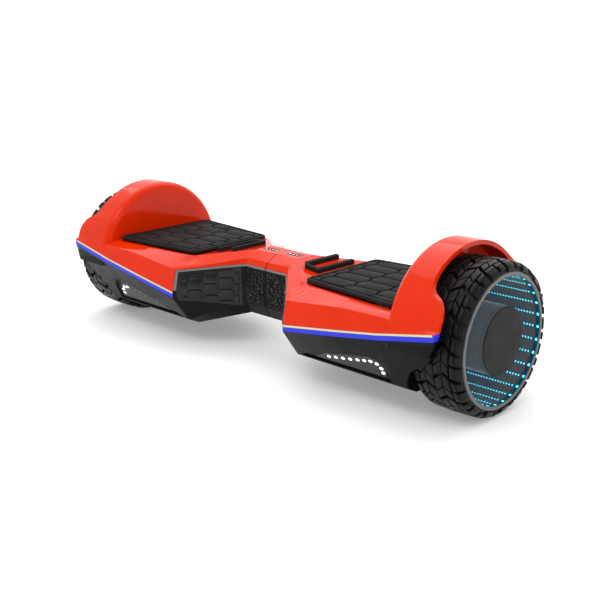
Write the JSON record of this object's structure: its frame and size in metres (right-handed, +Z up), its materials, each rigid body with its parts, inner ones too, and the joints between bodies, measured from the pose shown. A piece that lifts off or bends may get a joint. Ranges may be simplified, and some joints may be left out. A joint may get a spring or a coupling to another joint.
{
  "type": "self balancing hoverboard",
  "caption": "Self balancing board: two tilting halves on a centre pivot, a foot pad on each, lit wheels under fenders.",
  "frame": {"origin": "on the ground under the middle of the board: centre of the bounding box in x and y, at its lowest z", "axes": "+X along the board to the right-hand wheel, +Y to the back, +Z up; the board stands level on its two wheels"},
  "size_m": [0.646, 0.203, 0.186],
  "materials": {
    "shell_red": "glossy moulded ABS, red-orange",
    "shell_black": "satin black moulded ABS",
    "strip_blue": "lit blue light guide, clear surface",
    "rubber_black": "moulded black rubber, satin",
    "headlight": "smoked clear plastic lens over white LEDs",
    "circuit_board": "green circuit board",
    "dark_window": "dark printed window",
    "cast_frame": "cast aluminium, as cast",
    "steel": "turned steel",
    "laminations": "stacked steel laminations with enamel",
    "tyre_rubber": "moulded black tyre rubber",
    "mirror_face": "dark mirror",
    "led_cyan": "white strip with cyan LEDs, lit",
    "tinted_window": "part-mirrored clear plastic window",
    "bezel_grey": "grey moulded ring",
    "cap_grey": "dark grey satin cap",
    "bush_plastic": "white acetal",
    "battery_wrap": "blue shrink wrap over cells",
    "speaker_grey": "black speaker can"
  },
  "bodies": {
    "left_half": {"left_upper_shell": "shell_red", "left_lower_shell": "shell_black", "left_light_strips": "strip_blue", "left_inner_panels": "rubber_black", "left_headlight_lens": "headlight", "left_headlight_board": "circuit_board", "left_indicator_window": "dark_window", "left_frame": "cast_frame", "left_axle": "steel", "left_stator": "laminations", "left_axle_clamp": "cast_frame", "left_screws": "steel", "left_gyro_board": "circuit_board", "left_edge_rib": "rubber_black", "centre_tube": "steel", "tube_clip": "steel", "battery_pack": "battery_wrap", "charge_socket": "shell_black"},
    "right_half": {"right_upper_shell": "shell_red", "right_lower_shell": "shell_black", "right_light_strips": "strip_blue", "right_inner_panels": "rubber_black", "right_headlight_lens": "headlight", "right_headlight_board": "circuit_board", "right_indicator_window": "dark_window", "right_frame": "cast_frame", "right_axle": "steel", "right_stator": "laminations", "right_axle_clamp": "cast_frame", "right_screws": "steel", "right_gyro_board": "circuit_board", "right_edge_rib": "rubber_black", "pivot_bushes": "bush_plastic", "main_board": "circuit_board", "speaker": "speaker_grey"},
    "left_wheel": {"left_tyre": "tyre_rubber", "left_rim": "cast_frame", "left_inner_cover": "cast_frame", "left_magnets": "steel", "left_wheel_bearings": "steel", "left_mirror": "mirror_face", "left_led_ring": "led_cyan", "left_wheel_window": "tinted_window", "left_bezel": "bezel_grey", "left_hub_cap": "cap_grey"},
    "right_wheel": {"right_tyre": "tyre_rubber", "right_rim": "cast_frame", "right_inner_cover": "cast_frame", "right_magnets": "steel", "right_wheel_bearings": "steel", "right_mirror": "mirror_face", "right_led_ring": "led_cyan", "right_wheel_window": "tinted_window", "right_bezel": "bezel_grey", "right_hub_cap": "cap_grey"},
    "left_pad": {"left_foot_pad": "rubber_black"},
    "right_pad": {"right_foot_pad": "rubber_black"},
    "port_cap": {"charge_port_cap": "rubber_black"},
    "button": {"power_button": "shell_black"}
  },
  "joints": [
    {"name": "centre_pivot", "type": "hinge", "parent": "left_half", "child": "right_half", "pos_m": [0, 0, 0.085], "axis": [1, 0, 0], "range_deg": [-10, 10]},
    {"name": "left_wheel_spin", "type": "hinge", "parent": "left_half", "child": "left_wheel", "pos_m": [-0.292, 0, 0.085], "axis": [1, 0, 0], "continuous": true},
    {"name": "right_wheel_spin", "type": "hinge", "parent": "right_half", "child": "right_wheel", "pos_m": [0.292, 0, 0.085], "axis": [1, 0, 0], "continuous": true},
    {"name": "left_pad_press", "type": "slide", "parent": "left_half", "child": "left_pad", "axis": [0, 0, -1], "range_m": [0, 0.0015], "stiffness_N_per_m": 20000, "springref_m": -0.0005},
    {"name": "right_pad_press", "type": "slide", "parent": "right_half", "child": "right_pad", "axis": [0, 0, -1], "range_m": [0, 0.0015], "stiffness_N_per_m": 20000, "springref_m": -0.0005},
    {"name": "port_cap_hinge", "type": "hinge", "parent": "left_half", "child": "port_cap", "pos_m": [-0.018, 0.0348, 0.1005], "axis": [1, 0, 0], "range_deg": [0, 110]},
    {"name": "power_button_press", "type": "slide", "parent": "right_half", "child": "button", "axis": [0, -1, 0], "range_m": [0, 0.0015], "stiffness_N_per_m": 2000, "springref_m": -0.0005}
  ]
}
